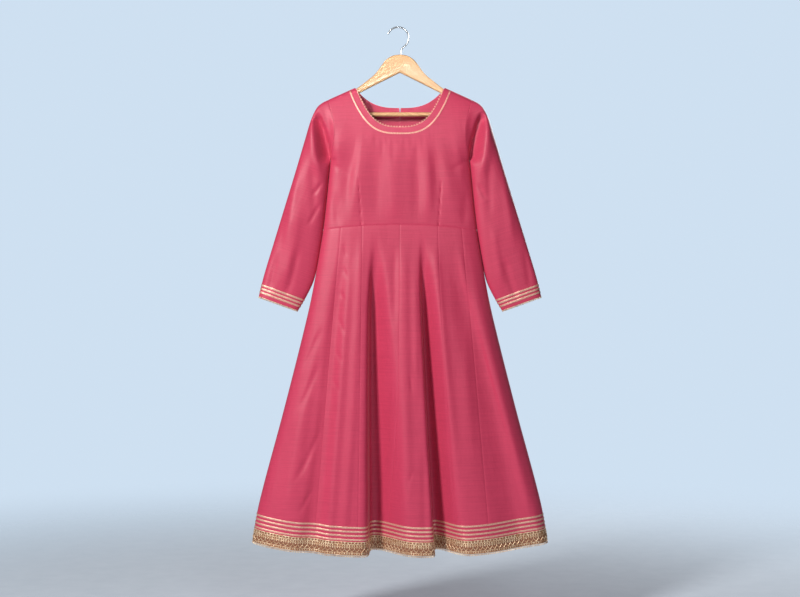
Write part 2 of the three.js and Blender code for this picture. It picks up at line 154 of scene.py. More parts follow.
def makeGoldThread():
    material, tree, shader = startMaterial("goldThread", 0.36, 0.35, 0.6)
    uv = clothMap(tree)
    threads = tree.nodes.new("ShaderNodeTexWave")
    threads.wave_type = "BANDS"
    threads.bands_direction = "DIAGONAL"
    threads.inputs["Scale"].default_value = goldThread["twist"] / 6.28  # near 2 pi, for a wave
    threads.inputs["Distortion"].default_value = 1.5
    tree.links.new(uv, threads.inputs["Vector"])
    # flecks are painted glints: brighter spots in the thread's colour, over the real twist bands of its
    # threads
    glintFlecks = stretchedNoise(tree, uv, (260, 500, 1), 2, 0.7)
    tone = weighted(tree, ((threads.outputs["Fac"], 0.35), (glintFlecks, 1.0)))
    colour = ramp(tree, tone, goldThread["deep"], goldThread["light"], 0.35, 0.85)
    tree.links.new(colour, shader.inputs["Base Color"])
    addBump(tree, shader, tone, 0.6, 0.0007)
    return material


# the net colour is a painted shade for the holes between the raised lace, darker than the gold
goldLace = {"light": (1.0, 0.80, 0.54), "deep": (0.55, 0.29, 0.14), "net": (0.36, 0.15, 0.085)}


def makeGoldLace():
    material, tree, shader = startMaterial("antiqueGoldLace", 0.38, 0.4, 0.6)
    uv = clothMap(tree)
    # flecks are painted glints: bright spots in the lace's colour, over its random wear
    glintFlecks = stretchedNoise(tree, uv, (150, 190, 1), 3, 0.7)
    wear = stretchedNoise(tree, uv, (30, 30, 1), 2, 0.5)
    tone = weighted(tree, ((glintFlecks, 1.0), (wear, 0.35)))
    gold = ramp(tree, tone, goldLace["deep"], goldLace["light"], 0.55, 0.76)
    # relief is 0 on the net and 1 on the raised parts, so the net takes the painted shade colour
    relief = tree.nodes.new("ShaderNodeAttribute")
    relief.attribute_name = "relief"
    colour = tree.nodes.new("ShaderNodeMix")
    colour.data_type = "RGBA"
    colour.inputs[6].default_value = (*goldLace["net"], 1)
    tree.links.new(relief.outputs["Fac"], colour.inputs[0])
    tree.links.new(gold, colour.inputs[7])
    tree.links.new(colour.outputs[2], shader.inputs["Base Color"])
    addBump(tree, shader, glintFlecks, 0.6, 0.0008)
    return material


wood = {
    "light": (0.80, 0.50, 0.25), "deep": (0.62, 0.33, 0.14), "varnish": 0.25, "varnishRoughness": 0.2,
    "slope": 0.62,  # of the grain, down each arm
}


def makeWood():
    material, tree, shader = startMaterial("varnishedWood", 0.34, 0.0, 0.5)
    shader.inputs["Coat Weight"].default_value = wood["varnish"]
    shader.inputs["Coat Roughness"].default_value = wood["varnishRoughness"]
    place = tree.nodes.new("ShaderNodeTexCoord")
    parts = tree.nodes.new("ShaderNodeSeparateXYZ")
    tree.links.new(place.outputs["Object"], parts.inputs["Vector"])
    along = tree.nodes.new("ShaderNodeMath")
    along.operation = "ABSOLUTE"
    tree.links.new(parts.outputs["X"], along.inputs[0])
    across = weighted(tree, ((along.outputs[0], wood["slope"]), (parts.outputs["Z"], 1.0)))
    joined = tree.nodes.new("ShaderNodeCombineXYZ")
    tree.links.new(parts.outputs["X"], joined.inputs["X"])
    tree.links.new(across, joined.inputs["Y"])
    tree.links.new(parts.outputs["Y"], joined.inputs["Z"])
    grain = stretchedNoise(tree, joined.outputs["Vector"], (9, 260, 120), 4, 0.6)
    pores = stretchedNoise(tree, joined.outputs["Vector"], (60, 1500, 700), 2, 0.5)
    tone = weighted(tree, ((grain, 0.9), (pores, 0.3)))
    colour = ramp(tree, tone, wood["deep"], wood["light"], 0.4, 0.75)
    tree.links.new(colour, shader.inputs["Base Color"])
    addBump(tree, shader, tone, 0.12, 0.0005)
    return material


wire = {"colour": (0.60, 0.62, 0.64), "polished": (0.24, 0.24, 0.24), "scuffed": (0.38, 0.38, 0.38)}


def makeWire():
    material, tree, shader = startMaterial("brightWire", 0.3, 1.0, 0.5)
    shader.inputs["Base Color"].default_value = (*wire["colour"], 1)
    place = tree.nodes.new("ShaderNodeTexCoord")
    scuffs = stretchedNoise(tree, place.outputs["Object"], (900, 900, 120), 3, 0.6)
    gloss = ramp(tree, scuffs, wire["polished"], wire["scuffed"], 0.3, 0.75)
    tree.links.new(gloss, shader.inputs["Roughness"])
    addBump(tree, shader, scuffs, 0.05, 0.0002)
    return material


silkMaterial = makeSilk()
threadMaterial = makeGoldThread()
laceMaterial = makeGoldLace()
woodMaterial = makeWood()
wireMaterial = makeWire()
print("materials made")


def mix(a, b, share):
    return a + (b - a) * share


def smoothStep(share):
    share = np.clip(share, 0, 1)
    return share * share * (3 - 2 * share)


def roundedSide(share, power):
    return np.maximum(0, 1 - np.abs(share) ** power) ** (1 / power)


# a smooth curve through values, at levels that fall from row to row
def readTable(levels, values, z):
    slopes = np.empty(len(values))
    slopes[1:-1] = (values[2:] - values[:-2]) / (levels[2:] - levels[:-2])
    slopes[0] = (values[1] - values[0]) / (levels[1] - levels[0])
    slopes[-1] = (values[-1] - values[-2]) / (levels[-1] - levels[-2])
    z = np.clip(z, levels[-1], levels[0])
    row = np.clip(np.searchsorted(-levels, -z) - 1, 0, len(levels) - 2)
    span = levels[row + 1] - levels[row]
    s = (z - levels[row]) / span
    rise = values[row + 1] - values[row]
    bulge = (slopes[row] * span - rise) * (1 - s) - (slopes[row + 1] * span - rise) * s
    return values[row] + rise * s + s * (1 - s) * bulge


bodice = {
    "neckHalf": 116, "neckTop": -155, "frontNeckDrop": 106.6, "backNeckDrop": 50, "neckPower": 3,
    "shoulderSlope": 0.45, "shoulderHalf": 187, "underarm": -343, "waist": -512, "waistSideDrop": 13,
    "turn": 9, "turnWithin": 2.5, "fallWithin": 75, "frontFall": 27, "backFall": 21,
}
# level and half width, down to the hem
widths = np.array([
    (-187, 187), (-213, 180), (-248, 171.5), (-285, 170.5), (-343, 180), (-421, 188), (-470, 193),
    (-525, 199.5), (-620, 215), (-738, 238), (-988, 300), (-1238, 366), (-1336, 383),
], float)


def halfWidth(z):
    nearby = (-16, -8, 0, 8, 16)  # averaged over these, so that the outline bends gently
    return sum(readTable(widths[:, 0], widths[:, 1], z + near) for near in nearby) / len(nearby)


def shoulderLine(x):
    return bodice["neckTop"] - bodice["shoulderSlope"] * (np.abs(x) - bodice["neckHalf"])


shoulderTip = float(shoulderLine(bodice["shoulderHalf"]))


def neckEdge(x, side):
    drop = bodice["frontNeckDrop"] if side < 0 else bodice["backNeckDrop"]
    reach = np.minimum(1, np.abs(x) / bodice["neckHalf"])
    return bodice["neckTop"] - drop * (1 - reach ** bodice["neckPower"])


def bodiceTop(x, side):
    return np.where(np.abs(x) < bodice["neckHalf"], neckEdge(x, side), shoulderLine(x))


def bodicePoint(share, z, side):
    x = share * halfWidth(z)
    drop = np.maximum(0, shoulderLine(x) - z)
    fall = bodice["frontFall"] if side < 0 else bodice["backFall"]
    stand = bodice["turn"] * (1 - np.exp(-drop / bodice["turnWithin"]))
    stand = stand + fall * (1 - np.exp(-drop / bodice["fallWithin"]))
    levels = [np.clip((z + near - shoulderTip) / (bodice["underarm"] - shoulderTip), 0, 1)
              for near in (0, -18, -12, -6, 6, 12, 18)]  # and those near it, for an even turn
    atSide = np.sqrt(1 - levels[0] ** 3)
    within = sum(np.sqrt(1 - level ** 3) for level in levels) / len(levels)
    width = mix(within, atSide, np.abs(share) ** 16)
    depth = stand * (width + (1 - width) * roundedSide(share, 3))
    return np.stack([x, side * np.maximum(0.15, depth), z + 0 * x], -1)


# Each crease runs from one place to another on the panel, as seen from its own side: x and z of
# both ends, how far its middle bows to the right, its reach to the left and to the right, its
# height (below nothing for a trough), and the share of its length over which each end fades.
frontBodiceCreases = [
    (-106, -248, -146, -530, -8, 18, 13, -3.6, 0.5),
    (-88, -248, -128, -530, 0, 15, 18, 3.6, 0.5),
    (84, -250, 102, -500, 2, 15, 13, -3.4, 0.5),
    (97, -248, 142, -530, 6, 14, 18, 3.2, 0.5),
    (-60, -290, -56, -530, -4, 18, 18, -3.4, 0.4),
    (-20, -285, -14, -530, 2, 16, 18, 3, 0.35),
    (38, -290, 44, -530, 3, 16, 14, -3.6, 0.4),
    (66, -285, 74, -530, 3, 14, 12, 3, 0.4),
    (140, -250, 160, -430, 5, 14, 14, 3, 0.4),
    (-152, -240, -164, -400, -5, 14, 14, 3.4, 0.4),
    (178, -335, 128, -378, 4, 12, 12, -2.2, 0.5),
    (-178, -340, -132, -392, -4, 12, 12, -2.2, 0.5),
    (-168, -420, -160, -530, 0, 12, 10, -3, 0.4),
    (172, -410, 166, -530, 0, 10, 12, -3, 0.4),
    (-62, -270, -66, -318, 0, 4, 5, -0.9, 0.5),
    (-45, -272, -46, -352, 0, 5, 4, -1.3, 0.5),
    (-33, -274, -33, -316, 0, 4, 4, -0.8, 0.5),
    (-17, -274, -19, -368, 0, 5, 6, -1.4, 0.5),
    (-3, -275, -2, -312, 0, 4, 4, -0.8, 0.5),
    (12, -275, 14, -346, 0, 6, 5, -1.3, 0.5),
    (29, -274, 31, -326, 0, 4, 5, -1.0, 0.5),
    (41, -273, 45, -372, 0, 5, 5, -1.3, 0.5),
    (57, -271, 61, -320, 0, 4, 4, -0.9, 0.5),
    (-107, -392, -98, -540, 0, 2.0, 1.6, -2.0, 0.1),
    (107, -394, 98.5, -540, 0, 2.0, 1.6, -2.0, 0.1),
]
backBodiceCreases = [
    (-120, -225, -96, -470, 8, 12, 12, 4, 0.35),
    (-96, -240, -70, -500, 5, 12, 10, -5, 0.35),
    (112, -230, 92, -480, -6, 12, 12, 4, 0.35),
    (92, -250, 66, -505, -4, 10, 12, -5, 0.35),
    (-40, -260, -30, -470, 0, 14, 14, 2.4, 0.4),
    (36, -280, 44, -500, 0, 14, 14, 2, 0.4),
    (-164, -350, -130, -410, 0, 6, 7, -2.4, 0.4),
    (162, -352, 124, -396, 0, 7, 6, -2.4, 0.4),
    (-104, -395, -96, -530, 0, 1.6, 1.6, -1.1, 0.06),
    (104, -395, 96, -530, 0, 1.6, 1.6, -1.1, 0.06),
]
frontSkirtCreases = [
    (-101, -538, -146, -1330, 6, 14, 10, 3, 0.12),
    (-120, -575, -178, -1330, -2, 14, 14, 2.4, 0.2),
    (-196, -760, -262, -1240, 4, 14, 15, -4, 0.3),
    (-242, -900, -306, -1345, 0, 18, 20, 4, 0.35),
    (-14, -550, -16, -800, 0, 9, 9, -2.4, 0.35),
    (9, -530, 18, -1340, 0, 16, 14, 4, 0.15),
    (-22, -880, -26, -1345, 0, 9, 9, -2.4, 0.3),
    (36, -560, 44, -1000, 0, 9, 8, 2.4, 0.35),
    (86, -538, 150, -1330, 3, 11, 12, 4.5, 0.12),
    (60, -1060, 66, -1345, 0, 10, 10, -3, 0.35),
    (194, -770, 306, -1160, -4, 5, 6, -2.2, 0.3),
    (168, -700, 190, -1180, -6, 16, 16, 2.4, 0.4),
    (150, -560, 178, -720, 0, 9, 9, 2.4, 0.4),
    (-202, -772, -256, -896, 3, 7, 8, -2.8, 0.35),
    (-209, -862, -271, -1010, 4, 7, 8, -2.8, 0.35),
    (-200, -1030, -284, -1196, 5, 8, 8, -3.0, 0.35),
    (-222, -1190, -266, -1262, 2, 6, 7, -2.2, 0.35),
    (-146, -560, -136, -600, 0, 4, 4, -1.2, 0.4),
    (-149, -616, -134, -655, 0, 4, 4, -1.1, 0.4),
    (-155, -680, -142, -712, 0, 4, 4, -1.3, 0.4),
    (-158, -750, -140, -800, 0, 4, 5, -1.3, 0.4),
    (-164, -835, -148, -872, 0, 4, 5, -1.2, 0.4),
    (-170, -905, -155, -950, 0, 5, 5, -1.2, 0.4),
    (24, -893, 33, -952, 0, 4, 4, -1.6, 0.4),
    (31, -1142, 24, -1180, 0, 4, 4, -1.6, 0.4),
    (16, -1146, 24, -1204, 0, 4, 4, -1.6, 0.4),
    (330, -1210, 352, -1345, 0, 9, 9, -3, 0.35),
]
backSkirtCreases = [
    (-130, -540, -214, -1330, 6, 12, 10, 6, 0.15),
    (-60, -540, -84, -1330, -4, 12, 12, 5, 0.15),
    (-34, -620, -62, -1100, 0, 9, 10, -4, 0.3),
    (52, -540, 96, -1330, 5, 12, 12, 5, 0.15),
    (76, -700, 130, -1240, 3, 10, 10, -4, 0.3),
    (158, -560, 262, -1330, -6, 14, 12, 6, 0.15),
    (188, -760, 300, -1300, 4, 12, 12, -5, 0.3),
    (-176, -640, -286, -1260, 5, 11, 12, -5, 0.3),
    (-206, -900, -262, -1040, 3, 6, 7, -3, 0.35),
    (212, -930, 262, -1080, 3, 6, 7, -3, 0.35),
    (18, -900, 26, -980, 0, 5, 5, -2, 0.4),
    (-14, -560, -10, -700, 0, 7, 7, -3, 0.35),
]
# the sleeves' creases, placed as seen from the front
leftSleeveCreases = [
    (-218, -214, -180, -362, 7, 24, 5, -19, 0.2),
    (-240, -205, -210, -400, 2, 16, 12, 6, 0.3),
    (-226, -330, -222, -500, 0, 10, 10, -3, 0.35),
    (-262, -330, -300, -600, 0, 12, 12, 3, 0.35),
    (-256, -430, -304, -700, 3, 22, 16, 5, 0.3),
    (-262, -560, -300, -712, 3, 9, 9, -3, 0.3),
    (-318, -580, -342, -700, 0, 9, 9, -2.6, 0.35),
    (-200, -398, -226, -440, 0, 6, 6, -2.6, 0.35),
    (-204, -450, -240, -520, 0, 6, 6, -2.4, 0.35),
]
rightSleeveCreases = [
    (216, -212, 180, -360, -7, 5, 22, -17, 0.2),
    (238, -205, 212, -400, -2, 12, 16, 6, 0.3),
    (230, -320, 232, -520, 0, 10, 10, -3, 0.35),
    (266, -340, 296, -590, 0, 12, 12, 3, 0.35),
    (240, -500, 268, -694, -3, 10, 10, 3, 0.3),
    (268, -590, 306, -716, -3, 9, 9, -3, 0.3),
    (320, -560, 340, -690, 0, 9, 9, -2.6, 0.35),
    (201, -402, 224, -452, 0, 6, 6, -2.6, 0.35),
]


def creaseHeight(x, z, creases):
    total = np.zeros(np.broadcast(x, z).shape)
    for topX, topZ, endX, endZ, bow, left, right, height, fade in creases:
        down = (topZ - z) / (topZ - endZ)
        offset = x - mix(topX, endX, down) - 4 * bow * down * (1 - down)
        offset = offset / np.where(offset < 0, left, right)
        ends = smoothStep(down / fade) * smoothStep((1 - down) / fade)
        total += height * ends * np.exp(-np.clip(offset * offset, 0, 40))
    return total


def gridNormals(points, around, outward):
    if around:
        across = np.roll(points, -1, 1) - np.roll(points, 1, 1)
    else:
        across = np.gradient(points, axis=1)
    normals = np.cross(across, np.gradient(points, axis=0))
    normals /= np.maximum(np.linalg.norm(normals, axis=2, keepdims=True), 1e-9)
    return normals * (1 if (normals * outward).sum() > 0 else -1)


def arcAcross(points):
    steps = np.linalg.norm(np.diff(points, axis=1), axis=2)
    return np.concatenate([np.zeros((len(points), 1)), np.cumsum(steps, 1)], 1)


def arcDown(points):
    steps = np.linalg.norm(np.diff(points, axis=0), axis=2)
    return np.concatenate([np.zeros((1, points.shape[1])), np.cumsum(steps, 0)], 0)


# uvs holds one place on the cloth for each point
def makeObject(name, points, faces, uvs, material, sharpAngle=50):
    mesh = bpy.data.meshes.new(name)
    mesh.from_pydata((np.asarray(points) * 0.001).tolist(), [], faces)
    layer = mesh.uv_layers.new(name="weave")
    corners = np.empty(len(mesh.loops), int)
    mesh.loops.foreach_get("vertex_index", corners)
    layer.data.foreach_set("uv", (np.asarray(uvs)[corners] * 0.001).astype(np.float32).ravel())
    mesh.polygons.foreach_set("use_smooth", [True] * len(mesh.polygons))
    mesh.set_sharp_from_angle(angle=math.radians(sharpAngle))
    mesh.materials.append(material)
    mesh.update()
    piece = bpy.data.objects.new(name, mesh)
    bpy.context.scene.collection.objects.link(piece)
    return piece


# a thin wall under the grid outer: rows down, columns across, with its warp threads along warp
def shellPiece(name, outer, normals, around=False, uvShift=0.0, warp=(0, 0, -1)):
    rows, columns = outer.shape[:2]
    inner = outer - normals * cloth["thickness"]
    points = np.concatenate([outer.reshape(-1, 3), inner.reshape(-1, 3)])
    acrossUv = arcAcross(outer)
    acrossUv = acrossUv - acrossUv[:, -1:] / 2 + uvShift
    uv = np.stack([acrossUv, outer @ np.array(warp) + uvShift], -1).reshape(-1, 2)
    index = np.arange(rows * columns).reshape(rows, columns)
    if around:
        index = np.concatenate([index, index[:, :1]], 1)
    a, b, c, d = index[:-1, :-1], index[:-1, 1:], index[1:, 1:], index[1:, :-1]
    inside = rows * columns
    quads = np.stack([a, b, c, d], -1).reshape(-1, 4)
    p = points[quads]
    facing = np.cross(p[:, 1] - p[:, 0], p[:, 3] - p[:, 0])
    wanted = normals.reshape(-1, 3)[quads[:, 0]]
    flip = (facing * wanted).sum() < 0
    faces = [quads, quads[:, ::-1] + inside]
    edges = [index[0][::-1], index[-1]]
    if not around:
        edges += [index[:, 0], index[:, -1][::-1]]
    for edge in edges:
        faces.append(np.stack([edge[:-1], edge[1:], edge[1:] + inside, edge[:-1] + inside], -1))
    faces = np.concatenate(faces)
    if flip:
        faces = faces[:, ::-1]
    return makeObject(name, points, faces.tolist(), np.concatenate([uv, uv]), silkMaterial)


cloth = {"thickness": 0.9, "seamSink": 0.5, "seamReach": 1.2}


# pulls the cloth in along the seams at the named edges
def sinkSeams(points, normals, edges):
    across, down = arcAcross(points), arcDown(points)
    away = {"left": across, "right": across[:, -1:] - across, "top": down, "bottom": down[-1:] - down}
    for edge in edges:
        sink = cloth["seamSink"] * np.exp(-(away[edge] / cloth["seamReach"]) ** 2)
        points = points - normals * sink[..., None]
    return points


def declareCloth(piece, node):
    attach(piece, "root")
    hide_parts(node)


bodiceMesh = {
    "rows": 118, "columns": 148, "backColumns": 74, "besideSeam": 0.9995, "wideFromRow": 60,
    "slitHalf": 2.0, "slitWithin": 9, "halfGap": 0.03, "gapWithin": 12,
    "seamRidge": 3, "ridgeHalf": 3.2, "ridgeFrom": 90, "ridgeFade": 60,
}


def bodiceGrid(shares, side, creases):
    closeRows = np.array([0, 0.0015, 0.003, 0.005, 0.008, 0.012, 0.018, 0.026])
    rowShares = np.concatenate([closeRows, np.linspace(0.035, 0.985, bodiceMesh["rows"]), [0.993, 1]])
    shares = shares[None, :]
    top = bodiceTop(shares * bodice["shoulderHalf"], side)
    for _ in range(6):
        top = bodiceTop(shares * halfWidth(top), side)
    bottom = bodice["waist"] - bodice["waistSideDrop"] * shares ** 2
    z = mix(top, bottom, rowShares[:, None])
    points = bodicePoint(shares + 0 * z, z, side)
    sideways = 1 - np.abs(shares) ** 8
    points[..., 1] += side * creaseHeight(points[..., 0], z, creases) * sideways
    return points


# closer together at the sides of the garment, where it turns
def evenShares(count, low=-1.0, high=1.0):
    return np.sin(np.linspace(math.asin(low), math.asin(high), count + 1))


outFront, outBack = np.array([0, -1.0, 0]), np.array([0, 1.0, 0])
besideSeams = [-bodiceMesh["besideSeam"], bodiceMesh["besideSeam"]]
across = np.sort(np.concatenate([evenShares(bodiceMesh["columns"]), besideSeams]))
bodiceFront = bodiceGrid(across, -1, frontBodiceCreases)
bodiceFrontNormals = gridNormals(bodiceFront, False, outFront)
bodiceFront = sinkSeams(bodiceFront, bodiceFrontNormals, ("left", "right", "bottom"))
bodiceFrontPiece = shellPiece("bodiceFrontCloth", bodiceFront, bodiceFrontNormals, uvShift=40)

for hand, name in ((-1, "Left"), (1, "Right")):
    low, high = (-1.0, 0.0) if hand < 0 else (0.0, 1.0)
    shares = evenShares(bodiceMesh["backColumns"], low, high)
    grid = bodiceGrid(shares, 1, backBodiceCreases)
    centre = -1 if hand < 0 else 0
    down = arcDown(grid)[:, centre]
    parted = bodiceMesh["halfGap"] + bodiceMesh["slitHalf"] * np.exp(-down / bodiceMesh["slitWithin"])
    nearness = np.exp(-np.abs(grid[..., 0]) / bodiceMesh["gapWithin"])
    grid[..., 0] += hand * parted[:, None] * nearness
    ridge = bodiceMesh["seamRidge"] * smoothStep((down - bodiceMesh["ridgeFrom"]) / bodiceMesh["ridgeFade"])
    grid[..., 1] += ridge[:, None] * np.exp(-(grid[..., 0] / bodiceMesh["ridgeHalf"]) ** 2)
    normals = gridNormals(grid, False, outBack)
    grid = sinkSeams(grid, normals, ("left", "right", "bottom"))
    piece = shellPiece(f"bodiceBack{name}Cloth", grid, normals, uvShift=130 + 60 * hand)
    declareCloth(piece, f"bodice_back_{name.lower()}")
print("bodice made")


skirt = {
    "hem": -1360, "hemSideRise": 29, "hemRisePower": 2.7, "hemSide": -1336, "hemPowerLoss": 0.5,
    "frontWaist": 36, "frontHem": 76, "frontGrowth": 0.8, "backWaist": 30, "backHem": 62,
    "foldPower": 2.4, "foldGrowth": 0.6, "foldSettle": 0.28, "foldWidening": 0.6, "foldHemRise": 0.1,
    "frontRows": 150, "backRows": 110, "trimRows": 16, "trimDepth": 82, "seamColumns": (0, 0.9, 2.2),
}
# middle and reach of each fold at the waist and at the hem, its depth, how far it leans, and how
# many times further it reaches to the left and to the right
frontFolds = [
    (-64, -32, 6, 36, 80, 34, 1, 1.2), (56, 124, 6, 24, 78, 31, 1, 1.25),
    (-142, -222, 8, 22, 17, 4, 1.6, 1.3), (-110, -168, 7, 13, 3, 0, 1, 1),
    (112, 332, 12, 30, 19, -4, 2.6, 0.9), (160, 340, 12, 22, -8, 0, 1, 1),
]
backFolds = [
    (-96, -208, 10, 42, 34, 18, 1, 1), (12, -10, 8, 36, 46, -20, 1, 1),
    (124, 214, 10, 38, 30, 16, 1, 1),
]
# seam of each kali at the waist and at the hem, and the bend of its way down
frontSeams = [(-153, -218, 1), (-97, -108, 1), (0, -9, 1), (98, 158, 1.5), (159, 232, 1)]
backSeams = [(-155, -250, 1), (-80, -120, 1), (0, 40, 1), (80, 150, 1), (155, 262, 1)]
frontColumns, backColumns = [40, 28, 62, 70, 26, 40], [28, 38, 28, 36, 36, 28]


def skirtPoint(share, down, side):
    waistSide = bodice["waist"] - bodice["waistSideDrop"]
    half = halfWidth(mix(waistSide, skirt["hemSide"], down))
    along = share * half
    if side < 0:
        depth = mix(skirt["frontWaist"], skirt["frontHem"], down ** skirt["frontGrowth"])
        folds, creases = frontFolds, frontSkirtCreases
    else:
        depth = mix(skirt["backWaist"], skirt["backHem"], down)
        folds, creases = backFolds, backSkirtCreases
    hem = skirt["hem"] + skirt["hemSideRise"] * np.abs(share) ** skirt["hemRisePower"]
    waist = bodice["waist"] - bodice["waistSideDrop"] * share ** 2
    z = mix(waist, hem, down)
    y = depth * roundedSide(share, 3 - skirt["hemPowerLoss"] * down)
    x = along + 0 * y
    sideways = 1 - np.abs(share) ** 8
    y = y + creaseHeight(along, z, creases) * sideways
    for waistX, hemX, waistReach, hemReach, foldDepth, lean, leftward, rightward in folds:
        reach = mix(waistReach, hemReach, down ** skirt["foldWidening"])
        offset = (along - mix(waistX, hemX, down)) / reach
        offset = offset / mix(1, np.where(offset > 0, rightward, leftward), down)
        rise = down ** skirt["foldGrowth"] * smoothStep(np.minimum(1, down / skirt["foldSettle"]))
        pull = rise * np.exp(-np.abs(offset) ** skirt["foldPower"])
        y = y - foldDepth * pull
        x = x - lean * pull
        z = z + skirt["foldHemRise"] * max(0, foldDepth) * pull * down
    return np.stack([x, side * y, z], -1)


def kaliGrid(kali, side, downs):
    seams = frontSeams if side < 0 else backSeams
    count = (frontColumns if side < 0 else backColumns)[kali]
    waistSide = bodice["waist"] - bodice["waistSideDrop"]
    half = halfWidth(mix(waistSide, skirt["hemSide"], downs))

    def seamShare(i):
        if i < 0:
            return -np.ones_like(downs)
        if i >= len(seams):
            return np.ones_like(downs)
        waist, hem, bend = seams[i]
        return mix(waist, hem, downs ** bend) / half

    low, high = seamShare(kali - 1), seamShare(kali)
    rows = []
    for r, down in enumerate(downs):
        fine = np.sin(np.linspace(math.asin(low[r]), math.asin(high[r]), 240))
        way = skirtPoint(fine, down, side)
        length = np.concatenate([[0], np.cumsum(np.linalg.norm(np.diff(way, axis=0), axis=1))])
        seamPart = np.array(skirt["seamColumns"])
        between = np.linspace(6, length[-1] - 6, count - 5)
        wanted = np.concatenate([seamPart, between, (length[-1] - seamPart)[::-1]])
        rows.append(skirtPoint(np.interp(wanted, length, fine), down, side))
    return np.array(rows)


def skirtDowns(count):
    length = skirt["hemSide"] - (bodice["waist"] - bodice["waistSideDrop"])
    start = np.array([0, 0.0011, 0.0027])
    trim = 1 - skirt["trimDepth"] / abs(length)
    trimmed = np.linspace(trim, 1, skirt["trimRows"])[1:]
    return np.concatenate([start, np.linspace(0.007, trim, count), trimmed])


hemGrids = []
skirtJobs = []
for side, sideName, outward in ((-1, "Front", outFront), (1, "Back", outBack)):
    downs = skirtDowns(skirt["frontRows"] if side < 0 else skirt["backRows"])
    for kali in range(6):
        grid = kaliGrid(kali, side, downs)
        normals = gridNormals(grid, False, outward)
        hemGrids.append(grid[-skirt["trimRows"]:])
        sunk = sinkSeams(grid, normals, ("left", "right", "top"))
        piece = shellPiece(f"skirt{sideName}Kali{kali + 1}", sunk, normals,
                           uvShift=300 + 170 * kali + 45 * side)
        skirtJobs.append((piece, f"skirt_{sideName.lower()}_{kali + 1}", sunk))
print("skirt made")


# outer and inner edge, half depth, how much it follows the armhole, and how far it sinks
sleeveSections = np.array([
    (187, -187, 180, -343, 24, 1, 0), (203, -195, 182, -351, 24, 0.6, 0.3),
    (216, -207, 183.6, -362, 26, 0.2, 0.28), (231, -238, 187, -387, 27, 0, 0.1),
    (246, -287, 189.6, -422, 27, 0, 0), (272, -375, 196.6, -487, 26, 0, 0),
    (302, -473, 205.6, -557, 24, 0, 0), (330, -565, 216.8, -621, 21, 0, 0),
    (353.5, -643, 235, -681, 19, 0, 0), (367, -697, 264.5, -734, 17, 0, 0),
], float)
sleeve = {
    "rows": 130, "halfColumns": 52, "power": 2.4, "trimRows": 14, "trimDepth": 42, "run": (0.33, -0.944),
    "backLower": 20, "backCalmer": 0.8, "touchDown": -690, "sideGap": 0.15, "capGap": 0.3,
}


def sleeveGrid(hand, creases):
    middles = np.stack([sleeveSections[:, [0, 2]].mean(1), sleeveSections[:, [1, 3]].mean(1)], 1)
    steps = np.linalg.norm(np.diff(middles, axis=0), axis=1)
    reach = np.concatenate([[0], np.cumsum(steps)])
    trim = reach[-1] - sleeve["trimDepth"]
    rowAt = np.concatenate([np.array([0, 1.2, 3, 5]), np.linspace(8, trim, sleeve["rows"]),
                            np.linspace(trim, reach[-1], sleeve["trimRows"])[1:]])
    table = np.stack([readTable(-reach, sleeveSections[:, i], -rowAt) for i in range(7)], 1)
    outerX, outerZ, innerX, innerZ, depth, follows, sink = (table[:, i:i + 1] for i in range(7))
    v = (1 - np.cos(np.linspace(0, math.pi, sleeve["halfColumns"] + 1)))[None, :] / 2
    sideHalf = float(halfWidth(np.array(bodice["underarm"])))
    behind = [(c[0], c[1] - sleeve["backLower"], *c[2:7], c[7] * sleeve["backCalmer"], c[8])
              for c in creases]
    halves = []
    for side in (-1, 1):
        armhole = bodicePoint(1.0, mix(shoulderTip, bodice["underarm"], v), side)
        y = mix(depth * roundedSide(2 * v - 1, sleeve["power"]), np.abs(armhole[..., 1]),
                np.clip(follows, 0, 1)) * (1 - sink * np.sin(np.pi * v))
        bow = armhole[..., 0] - mix(bodice["shoulderHalf"], sideHalf, v)
        x = mix(outerX, innerX, v) + bow * follows
        z = mix(outerZ, innerZ, v) + 0 * y
        rounding = 1 - np.abs(2 * v - 1) ** 6
        lift = creaseHeight(hand * x, z, creases if side < 0 else behind)
        y = side * np.maximum(0, y + lift * rounding)
        beside = smoothStep((bodice["underarm"] + 2 - innerZ) / 10)  # where it hangs against the side
        beside = beside * smoothStep((innerZ - sleeve["touchDown"]) / 70)
        gap = innerX - halfWidth(innerZ) - sleeve["sideGap"]
        x = x - gap * beside * v ** 6
        halves.append(np.stack([hand * x, y, z], -1))
    grid = np.concatenate([halves[0], halves[1][:, -2:0:-1]], 1)
    grid[0, :, 0] += hand * sleeve["capGap"]
    return grid


sleeveJobs = {}
for hand, name, creases in ((-1, "left", leftSleeveCreases), (1, "right", rightSleeveCreases)):
    grid = sleeveGrid(hand, creases)
    outward = grid - grid.mean(1, keepdims=True)
    normals = gridNormals(grid, True, outward)
    sunk = sinkSeams(grid, normals, ("top",))
    piece = shellPiece(f"sleeve{name.title()}Cloth", sunk, normals, around=True, uvShift=700 + 90 * hand,
                       warp=(hand * sleeve["run"][0], 0, sleeve["run"][1]))
    sleeveJobs[name] = (piece, sunk, grid[-sleeve["trimRows"]:])
print("sleeves made")


edgeStep = {"up": 2.0, "along": 1.5, "measuredAt": 20}


